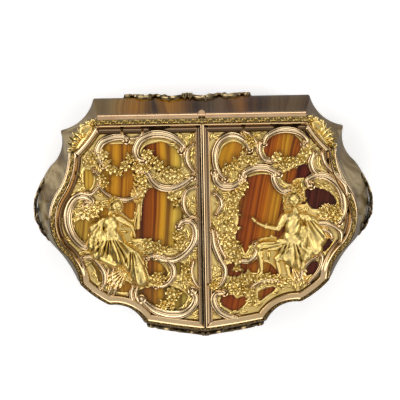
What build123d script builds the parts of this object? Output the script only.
from build123d import *
import os
from math import atan2, degrees, hypot

# Snuffbox of banded agate in gold mounts, with two hinged openwork lids.
# Millimetres, +Z up, X along the hinges, the front towards -Y. Z = 0 is the table it stands on.

os.makedirs("parts", exist_ok=True)

# Overall sizes across the corners of the belly. The plans below are drawn for 71.2 by 55.7,
# and all their X and Y stretch with these two.
WIDTH = 71.2
DEPTH = 55.7
STRETCH_X = WIDTH / 71.2
STRETCH_Y = DEPTH / 55.7


def place(x, y):
    """Point of the drawn plans at the overall sizes."""
    return x * STRETCH_X, y * STRETCH_Y


# Plan of the box. Each row is an end point and the bulge of the edge that leads to it,
# from the back centre clockwise to the front centre. The left half is its mirror image.
RIM_HALF = [((24.0, 24.55), 0), ((30.3, 16.75), -0.5), ((33.2, 7.65), -0.73), ((32.6, -5.65), 2.2),
            ((28.4, -13.25), -0.9), ((22.0, -18.05), 0.35), ((13.6, -22.35), -1.43), ((0, -24.45), 0.12)]
BELLY_HALF = [((25.3, 27.85), 0), ((33.15, 20.55), -1.65), ((35.6, 12.25), -1.34), ((35.5, -6.45), 3.35),
              ((29.9, -14.85), -0.5), ((23.3, -20.25), 0.4), ((14.4, -25.35), -1.5), ((0, -27.85), 0.15)]
RIM_BACK_X, RIM_BACK_Y = place(*RIM_HALF[0][0])
CUT_CORNER_END = place(*RIM_HALF[1][0])

# Heights.
AGATE_BOTTOM = 0.8
BASE_STEP = 1.3
BASE_TOP = 2.0
RIM_BOTTOM = 28.0
RIM_TOP = RIM_BOTTOM + 2.2
LID_GAP = 0.05
LID_BOTTOM = RIM_TOP + LID_GAP
RETAINER_TOP = LID_BOTTOM + 0.35
PANEL_TOP = RETAINER_TOP + 0.6
GROUND_TOP = PANEL_TOP + 0.55
SCROLL_TOP = GROUND_TOP + 0.8
BORDER_TOP = LID_BOTTOM + 1.65
CORNER_TOP = LID_BOTTOM + 1.75
FRAME_TOP = LID_BOTTOM + 2.35

# Side profile of the agate: share of its height, and how far the outline has gone from the rim plan (0)
# to the belly plan (1). Below the belly it tucks in under the rim plan, so it goes negative.
PROFILE = [(0, -0.72), (0.1, -0.31), (0.2, 0.24), (0.3, 0.74), (0.4, 0.97), (0.5, 0.99), (0.64, 0.74), (0.8, 0.38),
           (1, 0.0)]
BASE_PLAN = -0.42
BASE_STEP_PLAN = -0.5
BASE_HOLE_PLAN = -1.25

# Widths measured inwards from the rim plan.
BORDER_WIDTH = 0.8
REBATE_INSET = 1.7
FRAME_INSET = 2.2
POCKET_INSET = 3.8
LINER_WALL = 0.5
SKIRT_CLEARANCE = 0.12
SKIRT_WALL = 0.6

# The same widths measured from the centre line, where the two lids meet.
LID_SPLIT = 0.15
REBATE_X = 1.05
FRAME_X = 1.65
POCKET_X = 1.6

POCKET_FLOOR = 4.6
LINER_FLOOR = POCKET_FLOOR + LINER_WALL
LINER_TOP = RIM_TOP - 0.1
SKIRT_BOTTOM = LID_BOTTOM - 1.35

# Hinges.
BARREL_R = 0.55
BARREL_GAP = 0.05
HINGE_Y = RIM_BACK_Y + BARREL_R + BARREL_GAP
HINGE_Z = RIM_TOP + LID_GAP / 2
PIN_R = 0.30
PIN_CLEARANCE = 0.03
PIN_GRIP = 1.0
HINGE_FROM_X = 0.9
HINGE_TO_X = RIM_BACK_X - 0.1
KNUCKLES = 5
KNUCKLE_GAP = 0.05
WEB_GAP = 0.12
BODY_WEB_BOTTOM = HINGE_Z - 1.225
LID_WEB_TOP = HINGE_Z + 1.075
BOSS_R = 0.85

# Lobes of the shell mount on the cut corner: share of the way along it, distance outside it, radius.
CORNER_LOBES = [(0.29, 0.49, 1.35), (0.5, 0.93, 1.4), (0.73, 0.81, 1.3), (0.92, 0.52, 1.0)]

# Scrollwork of the lids. Windows: centre x, y, half width, half height.
WINDOWS = {
    "left": [(-18.8, 16.8, 3.0, 1.9), (-19.2, 10.2, 3.4, 3.2), (-8.6, 15.8, 3.7, 3.9), (-10.7, 2.2, 4.8, 5.4),
             (-26.2, 11.6, 1.0, 1.9), (-26.3, 1.0, 3.2, 3.6), (-24.7, -10.0, 1.4, 2.0), (-18.5, -13.4, 1.4, 1.1),
             (-9.7, -16.4, 4.6, 2.8), (-10.9, -11.0, 2.2, 2.0), (-6.6, -10.0, 1.2, 1.5)],
    "right": [(6.3, 15.9, 2.4, 3.2), (18.5, 17.5, 3.6, 2.0), (12.6, 3.0, 3.0, 5.6), (21.5, 11.4, 3.0, 1.6),
              (27.1, 5.6, 3.3, 2.6), (17.3, -2.1, 1.7, 1.2), (27.9, -4.4, 1.4, 1.6), (24.5, -10.0, 1.4, 1.6),
              (8.7, -10.6, 2.8, 1.6), (14.9, -10.2, 1.2, 1.5), (20.2, -11.1, 0.9, 1.5), (6.5, -17.0, 2.6, 2.0),
              (14.0, -16.5, 2.3, 1.4)],
}

# Scrolls: an odd count of points, each three in turn on an arc. The last point is the curled end.
SCROLLS = {
    "left": [
        [(-23.9, 13.4), (-23.9, 17.4), (-20.4, 20.3), (-17.4, 20.4), (-15.4, 18.9)],
        [(-15.5, 14.2), (-14.2, 18.8), (-10.0, 21.0), (-6.6, 20.2), (-4.4, 17.4)],
        [(-12.7, 12.6), (-10.4, 9.2), (-6.8, 8.1), (-4.2, 8.6), (-2.4, 10.2)],
        [(-2.9, 18.4), (-4.2, 15.2), (-2.2, 12.2)],
        [(-3.0, 8.8), (-5.0, 5.8), (-2.4, 2.4)],
        [(-25.5, 5.6), (-28.2, 6.3), (-30.2, 3.6), (-30.7, 0.0), (-28.9, -3.4), (-27.6, -4.4), (-26.0, -4.0)],
        [(-24.0, 10.8), (-21.9, 7.7), (-18.9, 6.3), (-16.9, 6.4), (-15.2, 7.7)],
        [(-4.6, 1.0), (-2.5, -1.6), (-3.4, -5.4), (-5.8, -7.4), (-8.8, -7.3)],
        [(-13.1, -6.4), (-9.8, -7.2), (-7.9, -9.4), (-7.9, -12.0), (-9.6, -13.5)],
        [(-26.9, -6.6), (-24.6, -8.2), (-23.0, -11.4)],
        [(-22.4, -13.2), (-20.8, -12.2), (-19.6, -9.6)],
        [(-3.6, -16.8), (-5.6, -20.0), (-9.4, -20.4), (-12.4, -19.8), (-13.4, -17.6)],
    ],
    "right": [
        [(10.6, 18.4), (8.0, 20.7), (4.4, 19.3), (2.8, 15.2), (3.9, 11.4), (5.8, 10.2), (8.2, 11.0)],
        [(13.7, 18.6), (15.8, 21.0), (18.9, 21.4), (21.8, 20.7), (23.8, 18.4)],
        [(12.3, 17.4), (13.4, 15.1), (16.6, 14.6)],
        [(9.4, 10.6), (12.0, 13.3), (15.4, 12.2), (15.8, 9.6), (18.4, 7.2)],
        [(2.3, 11.0), (5.2, 8.1), (9.2, 9.6)],
        [(3.0, 7.4), (4.3, 4.6), (2.8, 1.8)],
        [(24.2, 8.4), (27.0, 10.7), (30.6, 8.0), (31.9, 4.0), (31.3, 0.4)],
        [(25.2, 15.8), (24.9, 13.2), (26.8, 11.2)],
        [(22.4, -1.6), (26.2, -0.6), (29.6, -2.6)],
        [(8.0, -8.4), (10.6, -7.8), (11.8, -4.2)],
        [(2.0, -15.6), (2.8, -19.4), (6.5, -20.6)],
        [(2.0, -1.6), (2.6, -7.6), (4.4, -12.6)],
        [(10.4, -14.2), (13.2, -13.4), (16.8, -13.3)],
    ],
}
# The eye's radius is a share of the scroll's width.
SCROLL_WIDTH = 1.1
EYE = 0.75

# Flower bosses of the garlands: x, y.
BOSSES = {
    "left": [(-22.0, 14.3), (-20.0, 13.6), (-17.6, 13.9), (-12.6, 17.4), (-10.4, 13.4), (-7.2, 12.6), (-3.9, 10.9),
             (-5.6, -2.9), (-9.8, -5.0), (-6.9, -14.4), (-11.4, -13.8), (-15.9, -7.0)],
    "right": [(5.2, 8.6), (6.4, 5.6), (6.2, 2.4), (5.9, -0.8), (6.3, -4.0), (10.3, 14.6), (16.6, 15.6), (19.4, 14.4),
              (22.4, 15.4), (24.0, 17.4), (7.6, -13.3), (18.2, -12.9), (11.2, -12.0)],
}
BOSS_RADIUS = 1.0
BOSS_SIDES = 8
BOSS_TAPER = 20

# Figures: limbs as x1, y1, x2, y2, width, height above the ground sheet.
FIGURES = {
    "left": [(-20.2, 3.9, -20.0, 4.3, 2.8, 1.65), (-20.6, 3.2, -21.2, 1.6, 2.0, 1.3),
             (-21.5, 0.6, -23.6, -3.2, 4.6, 1.55), (-23.0, 1.4, -25.4, -1.4, 1.8, 1.3),
             (-21.0, 1.0, -15.0, 2.4, 1.8, 1.3), (-15.0, 4.8, -14.6, -1.6, 1.3, 1.1),
             (-22.4, -4.0, -18.2, -5.6, 4.4, 1.5), (-18.6, -6.2, -15.4, -11.0, 4.8, 1.4),
             (-15.8, -11.6, -12.8, -14.0, 2.0, 1.1)],
    "right": [(20.2, 6.4, 20.6, 6.8, 3.0, 1.65), (20.6, 5.6, 20.7, 4.0, 2.0, 1.3),
              (20.8, 2.8, 19.6, -2.6, 4.6, 1.55), (19.4, 2.0, 13.6, 0.2, 2.0, 1.3),
              (13.8, 0.2, 11.6, 1.8, 1.7, 1.2), (22.0, 3.2, 24.6, -1.8, 2.0, 1.3),
              (19.8, -4.0, 15.4, -4.9, 3.8, 1.5), (14.6, -4.8, 13.4, -10.6, 2.1, 1.3),
              (17.4, -5.6, 18.4, -11.8, 2.2, 1.3), (21.0, -4.6, 22.8, -9.0, 3.4, 1.2)],
}
LIMB_TAPER = 20

# Scroll mounts applied round the belly.
MOUNT_BULGE = 0.27
MOUNT_LOW = 7.5
MOUNT_HIGH = 19.5
MOUNT_RAIL = 0.95
# C-scrolls of one half of a mount, as arcs like those of the lids: share of its half length, height.
MOUNT_SCROLLS = [
    [(0.0, 12.6), (0.24, 17.6), (0.50, 13.4), (0.46, 11.4), (0.36, 12.4)],
    [(0.0, 13.2), (0.20, 9.0), (0.46, 11.0)],
    [(0.46, 12.2), (0.66, 8.6), (0.86, 12.2), (0.80, 13.8), (0.70, 12.8)],
    [(0.48, 14.0), (0.68, 16.4), (0.84, 13.2)],
    [(0.84, 12.4), (0.92, 14.8), (0.98, 12.2)],
]
BACK_MOUNT_X = (-18.0 * STRETCH_X, 11.4 * STRETCH_X)
FRONT_MOUNT_X = (-13.6 * STRETCH_X, 13.6 * STRETCH_X)
SIDE_MOUNT_X = 35.8 * STRETCH_X
SIDE_MOUNT_Y = (-5.6 * STRETCH_Y, 10.8 * STRETCH_Y)
SIDE_MOUNT_BOW = 3.4
SIDE_MOUNT_THICK = 0.7
FAR = 100


def plan_points(t):
    """Plan rows at blend t between the rim (0) and the belly (1)."""
    rows = []
    for (rim, rim_bulge), (belly, belly_bulge) in zip(RIM_HALF, BELLY_HALF):
        point = place(*(r + t * (b - r) for r, b in zip(rim, belly)))
        rows.append((point, rim_bulge + t * (belly_bulge - rim_bulge)))
    return rows


def plan_face(t, inset=0.0, side=0, from_x=0.0):
    """Face of the plan at blend t, shrunk by inset, cut to one side of x = from_x when side is 1 or -1."""
    right = plan_points(t)
    left = [((-x, y), bulge) for (x, y), bulge in reversed(right)]
    steps = right[1:] + [(left[i][0], left[i - 1][1]) for i in range(1, len(left))]
    with BuildSketch() as face:
        with BuildLine():
            start = right[0][0]
            for point, bulge in steps:
                if bulge:
                    SagittaArc(start, point, bulge)
                else:
                    Line(start, point)
                start = point
            Line(start, right[0][0])
        make_face()
        if inset:
            offset(amount=-inset, kind=Kind.INTERSECTION)
        if side:
            with Locations((side * (from_x + FAR / 2), 0)):
                Rectangle(FAR, 2 * FAR, mode=Mode.INTERSECT)
    return face.sketch


def plan_slab(bottom, top, face):
    """Straight slab of a face between two heights."""
    with BuildPart() as slab:
        with BuildSketch(Plane.XY.offset(bottom)):
            add(face)
        extrude(amount=top - bottom)
    return slab.part


def bombe(extra):
    """Swelling solid of the side profile, with the plan pushed out by extra."""
    with BuildPart() as solid:
        for share, t in PROFILE:
            with BuildSketch(Plane.XY.offset(AGATE_BOTTOM + share * (RIM_BOTTOM - AGATE_BOTTOM))):
                add(plan_face(t + extra))
        loft(ruled=True)
    return solid.part


SIDES = (("left", -1), ("right", 1))


def save(builder, name):
    """Name a finished piece and write it out."""
    builder.part.label = name
    export_step(builder.part, "parts/" + name + ".step")


# Agate body with its two pockets.
body_block = bombe(0)
with BuildPart() as agate_body:
    add(body_block)
    for name, side in SIDES:
        with BuildSketch(Plane.XY.offset(POCKET_FLOOR)):
            add(plan_face(0, POCKET_INSET, side, POCKET_X))
        extrude(amount=RIM_TOP - POCKET_FLOOR, mode=Mode.SUBTRACT)
save(agate_body, "agate_body")

# Gold foot ring, stepped, with the agate seated in it.
with BuildPart() as base_rim:
    with BuildSketch():
        add(plan_face(BASE_PLAN))
    extrude(amount=BASE_STEP)
    with BuildSketch(Plane.XY.offset(BASE_STEP)):
        add(plan_face(BASE_STEP_PLAN))
    extrude(amount=BASE_TOP - BASE_STEP)
    with BuildSketch():
        add(plan_face(BASE_HOLE_PLAN))
    extrude(amount=BASE_TOP, mode=Mode.SUBTRACT)
    add(body_block, mode=Mode.SUBTRACT)
save(base_rim, "base_rim")

# Gold rim plate on the agate, with an opening over each pocket.
with BuildPart() as rim_mount:
    add(plan_slab(RIM_BOTTOM, RIM_TOP, plan_face(0)))
    for name, side in SIDES:
        add(plan_slab(RIM_BOTTOM, RIM_TOP, plan_face(0, POCKET_INSET, side, POCKET_X)), mode=Mode.SUBTRACT)
save(rim_mount, "rim_mount")

# Gold boss on the back edge between the two hinges.
with BuildPart() as hinge_boss:
    with BuildSketch(Plane.XY.offset(RIM_BOTTOM)):
        with Locations((0, HINGE_Y + BARREL_R / 2)):
            Circle(BOSS_R)
    extrude(amount=RIM_TOP - RIM_BOTTOM)
    with BuildSketch(Plane.YZ.offset(-BOSS_R)):
        with Locations((HINGE_Y, HINGE_Z)):
            Circle(BARREL_R)
    extrude(amount=2 * BOSS_R)
    add(plan_slab(RIM_BOTTOM, RIM_TOP, plan_face(0)), mode=Mode.SUBTRACT)
save(hinge_boss, "hinge_boss")

pitch = (HINGE_TO_X - HINGE_FROM_X) / KNUCKLES


def knuckle_row(side, first, count, web_low, web_high):
    """Every second knuckle of a hinge from number first, each with a web to the face at the rim's back."""
    with BuildPart() as row:
        for number in range(first, first + 2 * count, 2):
            near = HINGE_FROM_X + number * pitch + KNUCKLE_GAP
            far = near + pitch - 2 * KNUCKLE_GAP
            low_x = near if side > 0 else -far
            with BuildSketch(Plane.YZ.offset(low_x)):
                with Locations((HINGE_Y, HINGE_Z)):
                    Circle(BARREL_R)
                with Locations(((RIM_BACK_Y + HINGE_Y) / 2, (web_low + web_high) / 2)):
                    Rectangle(HINGE_Y - RIM_BACK_Y, web_high - web_low)
            extrude(amount=far - near)
    return row.part


def corner_lobes():
    """Centres and radii of the lobes along the right cut corner."""
    start = (RIM_BACK_X, RIM_BACK_Y)
    along = [e - s for s, e in zip(start, CUT_CORNER_END)]
    length = hypot(*along)
    for share, out, radius in CORNER_LOBES:
        yield (start[0] + share * along[0] - out * along[1] / length,
               start[1] + share * along[1] + out * along[0] / length, radius)


for name, side in SIDES:
    # Thin gold lining of the pocket, with its lip standing up inside the rim plate.
    with BuildPart() as liner:
        add(plan_slab(POCKET_FLOOR, LINER_TOP, plan_face(0, POCKET_INSET, side, POCKET_X)))
        add(plan_slab(LINER_FLOOR, LINER_TOP, plan_face(0, POCKET_INSET + LINER_WALL, side, POCKET_X + LINER_WALL)),
            mode=Mode.SUBTRACT)
    save(liner, name + "_liner")

    # Body half of the hinge: knuckles 1, 3 and 5, tied by a strip behind the rim plate.
    with BuildPart() as body_knuckles:
        add(knuckle_row(side, 0, 3, BODY_WEB_BOTTOM, HINGE_Z - WEB_GAP))
        strip_x = side * (HINGE_FROM_X + HINGE_TO_X) / 2
        with BuildSketch(Plane.XY.offset(BODY_WEB_BOTTOM)):
            with Locations((strip_x, (RIM_BACK_Y + HINGE_Y) / 2)):
                Rectangle(HINGE_TO_X - HINGE_FROM_X - 2 * KNUCKLE_GAP, HINGE_Y - RIM_BACK_Y)
        extrude(amount=HINGE_Z - BARREL_R - WEB_GAP - BODY_WEB_BOTTOM)
        with BuildSketch(Plane.YZ.offset(-FAR / 2)):
            with Locations((HINGE_Y, HINGE_Z)):
                Circle(PIN_R + PIN_CLEARANCE)
        extrude(amount=FAR, mode=Mode.SUBTRACT)
    save(body_knuckles, name + "_body_knuckles")

    # Lid half of the hinge: knuckles 2 and 4, tied by a strip behind the lid frame.
    with BuildPart() as lid_knuckles:
        add(knuckle_row(side, 1, 2, HINGE_Z + WEB_GAP, LID_WEB_TOP))
        with BuildSketch(Plane.XY.offset(HINGE_Z + BARREL_R + WEB_GAP)):
            with Locations((strip_x, (RIM_BACK_Y + HINGE_Y) / 2)):
                Rectangle(HINGE_TO_X - HINGE_FROM_X - 2 * KNUCKLE_GAP, HINGE_Y - RIM_BACK_Y)
        extrude(amount=LID_WEB_TOP - HINGE_Z - BARREL_R - WEB_GAP)
        with BuildSketch(Plane.YZ.offset(-FAR / 2)):
            with Locations((HINGE_Y, HINGE_Z)):
                Circle(PIN_R + PIN_CLEARANCE)
        extrude(amount=FAR, mode=Mode.SUBTRACT)
    save(lid_knuckles, name + "_lid_knuckles")

    # Hinge pin through all the knuckles, with a swelling that grips the outermost body knuckle.
    with BuildPart() as pin:
        pin_low = HINGE_FROM_X + KNUCKLE_GAP if side > 0 else -HINGE_TO_X + KNUCKLE_GAP
        with BuildSketch(Plane.YZ.offset(pin_low)):
            with Locations((HINGE_Y, HINGE_Z)):
                Circle(PIN_R)
        extrude(amount=HINGE_TO_X - HINGE_FROM_X - 2 * KNUCKLE_GAP)
        grip_low = HINGE_TO_X - KNUCKLE_GAP - PIN_GRIP if side > 0 else -HINGE_TO_X + KNUCKLE_GAP
        with BuildSketch(Plane.YZ.offset(grip_low)):
            with Locations((HINGE_Y, HINGE_Z)):
                Circle(PIN_R + PIN_CLEARANCE)
        extrude(amount=PIN_GRIP)
    save(pin, name + "_hinge_pin")

    # Chased border round the lid.
    with BuildPart() as border:
        add(plan_slab(LID_BOTTOM, BORDER_TOP, plan_face(0, 0, side, LID_SPLIT)))
        add(plan_slab(LID_BOTTOM, BORDER_TOP, plan_face(0, BORDER_WIDTH, side, 0)), mode=Mode.SUBTRACT)
    save(border, name + "_lid_border")

    # Polished frame with a rebate from below for the panel.
    with BuildPart() as frame:
        add(plan_slab(LID_BOTTOM, FRAME_TOP, plan_face(0, BORDER_WIDTH, side, LID_SPLIT)))
        add(plan_slab(LID_BOTTOM, PANEL_TOP, plan_face(0, REBATE_INSET, side, REBATE_X)), mode=Mode.SUBTRACT)
        add(plan_slab(LID_BOTTOM, FRAME_TOP, plan_face(0, FRAME_INSET, side, FRAME_X)), mode=Mode.SUBTRACT)
    save(frame, name + "_lid_frame")

    # Agate panel under the frame's lip.
    with BuildPart() as panel:
        add(plan_slab(RETAINER_TOP, PANEL_TOP, plan_face(0, REBATE_INSET, side, REBATE_X)))
    save(panel, name + "_lid_panel")

    # Ring that holds the panel up, with a skirt that drops inside the liner.
    skirt_inset = POCKET_INSET + LINER_WALL + SKIRT_CLEARANCE
    skirt_x = POCKET_X + LINER_WALL + SKIRT_CLEARANCE
    with BuildPart() as retainer:
        add(plan_slab(LID_BOTTOM, RETAINER_TOP, plan_face(0, REBATE_INSET, side, REBATE_X)))
        add(plan_slab(SKIRT_BOTTOM, LID_BOTTOM, plan_face(0, skirt_inset, side, skirt_x)))
        add(plan_slab(SKIRT_BOTTOM, RETAINER_TOP, plan_face(0, skirt_inset + SKIRT_WALL, side, skirt_x + SKIRT_WALL)),
            mode=Mode.SUBTRACT)
    save(retainer, name + "_panel_retainer")

    # Shell mount outside the cut corner at the back.
    with BuildPart() as corner:
        with BuildSketch(Plane.XY.offset(LID_BOTTOM)):
            for x, y, radius in corner_lobes():
                with Locations((side * x, y)):
                    Circle(radius)
            with Locations((0, RIM_BACK_Y + FAR / 2)):
                Rectangle(2 * FAR, FAR, mode=Mode.SUBTRACT)
            add(plan_face(0), mode=Mode.SUBTRACT)
        extrude(amount=CORNER_TOP - LID_BOTTOM)
    save(corner, name + "_corner_mount")


def scroll_cage(side, windows, scrolls, bosses, figure_part):
    """Pierced ground with C-scrolls raised on it, cut away where the figure stands.

    Each scroll is a chain of arcs with an eye at its curled end.
    """
    with BuildPart() as cage:
        with BuildSketch(Plane.XY.offset(PANEL_TOP)):
            add(plan_face(0, FRAME_INSET, side, FRAME_X))
            for x, y, half_width, half_height in windows:
                with Locations(place(x, y)):
                    Ellipse(half_width, half_height, mode=Mode.SUBTRACT)
            for path in scrolls:
                add(scroll_band([place(*point) for point in path], SCROLL_WIDTH))
            add(plan_face(0, FRAME_INSET, side, FRAME_X), mode=Mode.INTERSECT)
        extrude(amount=GROUND_TOP - PANEL_TOP)
        with BuildSketch(Plane.XY.offset(GROUND_TOP)):
            for path in scrolls:
                add(scroll_band([place(*point) for point in path], SCROLL_WIDTH))
            add(plan_face(0, FRAME_INSET, side, FRAME_X), mode=Mode.INTERSECT)
        extrude(amount=SCROLL_TOP - GROUND_TOP)
        for x, y in bosses:
            with BuildSketch(Plane.XY.offset(PANEL_TOP)):
                with Locations(place(x, y)):
                    RegularPolygon(BOSS_RADIUS, BOSS_SIDES)
            extrude(amount=SCROLL_TOP - PANEL_TOP, taper=BOSS_TAPER)
        add(figure_part, mode=Mode.SUBTRACT)
    return cage


def scroll_band(path, width):
    """Band of one width along the arcs through every second point of a path, with a round eye at the last."""
    with BuildSketch() as band:
        for i in range(0, len(path) - 2, 2):
            with BuildLine(mode=Mode.PRIVATE) as arc:
                ThreePointArc(path[i], path[i + 1], path[i + 2])
            SlotArc(arc.line.edge(), width)
        with Locations(path[-1]):
            Circle(width * EYE)
    return band.sketch


def limb(row):
    """Slot along one part of a figure, from x, y to x, y with a width."""
    x1, y1 = place(*row[:2])
    x2, y2 = place(*row[2:4])
    length = hypot(x2 - x1, y2 - y1)
    angle = degrees(atan2(y2 - y1, x2 - x1))
    with BuildSketch() as shape:
        with Locations(((x1 + x2) / 2, (y1 + y2) / 2)):
            SlotCenterToCenter(length, row[4], rotation=angle)
    return shape.sketch


def figure(limbs):
    """Low relief figure of tapering limbs standing on the ground sheet."""
    with BuildPart() as relief:
        for row in limbs:
            with BuildSketch(Plane.XY.offset(GROUND_TOP)):
                add(limb(row))
            extrude(amount=row[5], taper=LIMB_TAPER)
    return relief


for name, side in SIDES:
    relief = figure(FIGURES[name])
    save(relief, name + "_figure")
    save(scroll_cage(side, WINDOWS[name], SCROLLS[name], BOSSES[name], relief.part), name + "_scrollwork")


def belly_band(extra):
    """Solid of the middle of the side profile, pushed out by extra, between the mount heights."""
    with BuildPart() as band:
        add(bombe(extra))
        with Locations((0, 0, (MOUNT_LOW + MOUNT_HIGH) / 2)):
            Box(FAR, FAR, MOUNT_HIGH - MOUNT_LOW, mode=Mode.INTERSECT)
    return band.part


mount_block = belly_band(MOUNT_BULGE)


def mount_scrolls(plane, from_x, to_x):
    """Scrollwork of a mount along a plane's X axis, the same both ways from its middle, as a face on the plane."""
    middle = (from_x + to_x) / 2
    half = (to_x - from_x) / 2
    with BuildSketch(plane) as pattern:
        for way in (-1, 1):
            for path in MOUNT_SCROLLS:
                add(scroll_band([(middle + way * share * half, z) for share, z in path], MOUNT_RAIL))
    return pattern.sketch


for name, toward, from_x, to_x in (("back_mount", 1, *BACK_MOUNT_X), ("front_mount", -1, *FRONT_MOUNT_X)):
    with BuildPart() as mount:
        extrude(mount_scrolls(Plane.XZ, from_x, to_x), amount=FAR, dir=(0, toward, 0))
        add(mount_block, mode=Mode.INTERSECT)
        add(body_block, mode=Mode.SUBTRACT)
    save(mount, name)

for name, side in SIDES:
    # Side mount: the same scrolls on a bowed strip that stands off the agate, with its two ends on it.
    with BuildPart() as mount:
        with BuildSketch(Plane.XY.offset(MOUNT_LOW)):
            with BuildLine():
                start, end = [(side * SIDE_MOUNT_X, y) for y in SIDE_MOUNT_Y]
                SagittaArc(start, end, -side * SIDE_MOUNT_BOW)
                Line(end, (end[0] + side * SIDE_MOUNT_THICK, end[1]))
                SagittaArc((end[0] + side * SIDE_MOUNT_THICK, end[1]), (start[0] + side * SIDE_MOUNT_THICK, start[1]),
                           side * SIDE_MOUNT_BOW)
                Line((start[0] + side * SIDE_MOUNT_THICK, start[1]), start)
            make_face()
        extrude(amount=MOUNT_HIGH - MOUNT_LOW)
        add(extrude(mount_scrolls(Plane.YZ, *SIDE_MOUNT_Y), amount=FAR, dir=(side, 0, 0), mode=Mode.PRIVATE),
            mode=Mode.INTERSECT)
        add(body_block, mode=Mode.SUBTRACT)
    save(mount, name + "_side_mount")
